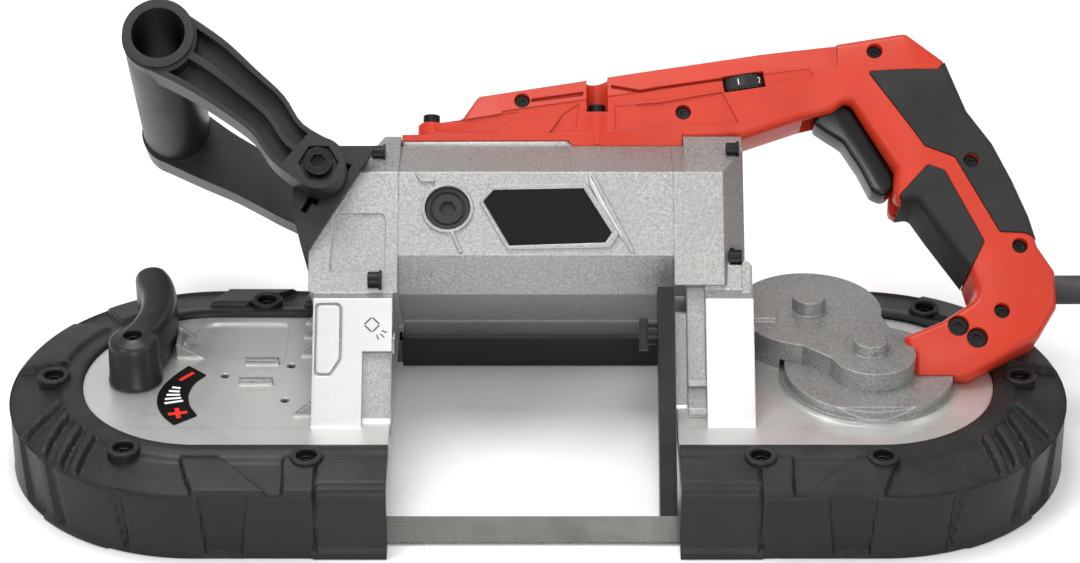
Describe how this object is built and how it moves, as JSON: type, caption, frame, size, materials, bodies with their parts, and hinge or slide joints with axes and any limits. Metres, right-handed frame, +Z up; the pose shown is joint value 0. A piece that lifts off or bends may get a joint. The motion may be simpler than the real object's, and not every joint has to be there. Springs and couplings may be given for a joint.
{
  "type": "portable band saw",
  "caption": "Corded portable band saw with a tilted motor, two wheel guards in bumpers, front and rear handles, tension lever and a put-away mains cord.",
  "frame": {"origin": "on the table, under the middle of the saw's own outline, without its cord", "axes": "+X along the blade from the tension wheel to the drive wheel, +Y away from the operator, +Z up"},
  "size_m": [0.7461, 0.269, 0.2019],
  "materials": {
    "cast_aluminium": "sand cast, fine speckle",
    "machined_aluminium": "machined",
    "bumper_rubber": "satin moulded",
    "black_steel": "blackened",
    "bright_steel": "ground",
    "blade_steel": "brushed",
    "tyre_rubber": "matte",
    "black_plastic": "fine grain",
    "red_plastic": "fine grain",
    "grip_rubber": "matte",
    "label_film": "satin film",
    "lens": "clear",
    "copper": "enamelled winding",
    "stack_steel": "laminated",
    "brass": "plain",
    "carbon": "carbon",
    "cord_rubber": "matte"
  },
  "bodies": {
    "saw": {"idler_frame": "cast_aluminium", "motor_housing": "cast_aluminium", "gear_frame": "cast_aluminium", "gear_cover": "cast_aluminium", "gear_side_cover": "cast_aluminium", "gear_case_plate": "machined_aluminium", "left_bumper": "bumper_rubber", "right_bumper": "bumper_rubber", "bumper_screws": "black_steel", "rear_blade_guard": "black_plastic", "frame_screws": "black_steel", "badge_plate": "label_film", "lamp_lens": "lens", "field_core": "stack_steel", "motor_bearings": "bright_steel", "brush_holders": "brass", "carbon_brushes": "carbon", "brush_caps": "black_plastic", "shaft_bearings": "bright_steel", "slide_keepers": "bright_steel", "tension_springs": "bright_steel", "tension_mark": "label_film", "saw_blade": "blade_steel", "left_blade_guide": "black_steel", "right_blade_guide": "black_steel", "near_handle_shell": "red_plastic", "far_handle_shell": "red_plastic", "near_grip": "grip_rubber", "far_grip": "grip_rubber", "trigger_pin": "bright_steel", "switch_body": "black_plastic", "handle_screws": "black_steel", "flange_screws": "black_steel", "front_handle": "black_plastic", "front_handle_wedge": "black_plastic", "front_handle_bolt": "black_steel", "strain_relief": "cord_rubber", "mains_cord": "cord_rubber", "cord_coil": "cord_rubber", "mains_plug": "black_plastic"},
    "armature": {"armature": "copper"},
    "first_shaft": {"first_gear_shaft": "bright_steel"},
    "second_shaft": {"second_gear_shaft": "bright_steel"},
    "upright": {"upright_shaft": "bright_steel"},
    "drive": {"drive_shaft": "bright_steel", "drive_wheel": "machined_aluminium", "drive_tyre": "tyre_rubber"},
    "idler": {"idler_wheel": "machined_aluminium", "idler_tyre": "tyre_rubber"},
    "tension_block": {"tension_slide": "bright_steel"},
    "lever": {"tension_lever": "black_plastic", "lever_screw": "black_steel"},
    "trigger": {"trigger": "black_plastic"},
    "dial": {"speed_dial": "black_plastic"},
    "stop": {"work_stop": "black_steel", "work_stop_screw": "black_steel"},
    "left_front_roller": {"left_front_roller": "bright_steel"},
    "left_rear_roller": {"left_rear_roller": "bright_steel"},
    "right_front_roller": {"right_front_roller": "bright_steel"},
    "right_rear_roller": {"right_rear_roller": "bright_steel"}
  },
  "joints": [
    {"name": "drive_wheel_spin", "type": "hinge", "parent": "saw", "child": "drive", "pos_m": [0.161, -0.03699, 0.026], "axis": [0, 0, 1], "continuous": true},
    {"name": "upright_shaft_spin", "type": "hinge", "parent": "saw", "child": "upright", "pos_m": [0.13447, 0.00301, 0.04], "axis": [0, 0, 1], "continuous": true},
    {"name": "second_shaft_spin", "type": "hinge", "parent": "saw", "child": "second_shaft", "pos_m": [0.09, 0.00301, 0.042], "axis": [1, 0, 0], "continuous": true},
    {"name": "first_shaft_spin", "type": "hinge", "parent": "saw", "child": "first_shaft", "pos_m": [0.08, 0.01103, 0.06896], "axis": [1, 0, 0], "continuous": true},
    {"name": "armature_spin", "type": "hinge", "parent": "saw", "child": "armature", "pos_m": [0, 0.02559, 0.08804], "axis": [1, 0, 0], "continuous": true},
    {"name": "idler_wheel_spin", "type": "hinge", "parent": "tension_block", "child": "idler", "pos_m": [-0.161, -0.03699, 0.008], "axis": [0, 0, 1], "continuous": true},
    {"name": "lever_turn", "type": "hinge", "parent": "saw", "child": "lever", "pos_m": [-0.196, -0.03699, 0.05], "axis": [0, 0, 1], "range_deg": [0, 180]},
    {"name": "tension_slide_travel", "type": "slide", "parent": "saw", "child": "tension_block", "axis": [1, 0, 0], "range_m": [0, 0.006]},
    {"name": "trigger_pull", "type": "hinge", "parent": "saw", "child": "trigger", "pos_m": [0.146, 0.06908, 0.13152], "axis": [0, -0.7071, 0.7071], "range_deg": [0, 8], "stiffness_Nm_per_rad": 0.6, "springref_deg": -8.59},
    {"name": "speed_dial_turn", "type": "hinge", "parent": "saw", "child": "dial", "pos_m": [0.103, 0.0765, 0.14107], "axis": [-0.1513, 0.699, 0.699], "range_deg": [-240, 0]},
    {"name": "work_stop_slide", "type": "slide", "parent": "saw", "child": "stop", "axis": [0, 0.7071, 0.7071], "range_m": [0, 0.008]},
    {"name": "left_front_roller_spin", "type": "hinge", "parent": "saw", "child": "left_front_roller", "pos_m": [-0.084, -0.11904, 0.01113], "axis": [0, 0.7071, 0.7071], "continuous": true},
    {"name": "left_rear_roller_spin", "type": "hinge", "parent": "saw", "child": "left_rear_roller", "pos_m": [-0.084, -0.11278, 0.00487], "axis": [0, 0.7071, 0.7071], "continuous": true},
    {"name": "right_front_roller_spin", "type": "hinge", "parent": "saw", "child": "right_front_roller", "pos_m": [0.082, -0.11904, 0.01113], "axis": [0, 0.7071, 0.7071], "continuous": true},
    {"name": "right_rear_roller_spin", "type": "hinge", "parent": "saw", "child": "right_rear_roller", "pos_m": [0.082, -0.11278, 0.00487], "axis": [0, 0.7071, 0.7071], "continuous": true}
  ],
  "couplings": [
    {"joint": "upright_shaft_spin", "follows": "drive_wheel_spin", "ratio": -4.3333},
    {"joint": "second_shaft_spin", "follows": "drive_wheel_spin", "ratio": -4.3333},
    {"joint": "first_shaft_spin", "follows": "drive_wheel_spin", "ratio": 17.333},
    {"joint": "armature_spin", "follows": "drive_wheel_spin", "ratio": -86.667},
    {"joint": "idler_wheel_spin", "follows": "drive_wheel_spin", "ratio": 1},
    {"joint": "lever_turn", "follows": "tension_slide_travel", "rad_per_m": 523.6},
    {"joint": "left_front_roller_spin", "follows": "drive_wheel_spin", "ratio": -19.731},
    {"joint": "left_rear_roller_spin", "follows": "drive_wheel_spin", "ratio": 19.731},
    {"joint": "right_front_roller_spin", "follows": "drive_wheel_spin", "ratio": -19.731},
    {"joint": "right_rear_roller_spin", "follows": "drive_wheel_spin", "ratio": 19.731}
  ]
}
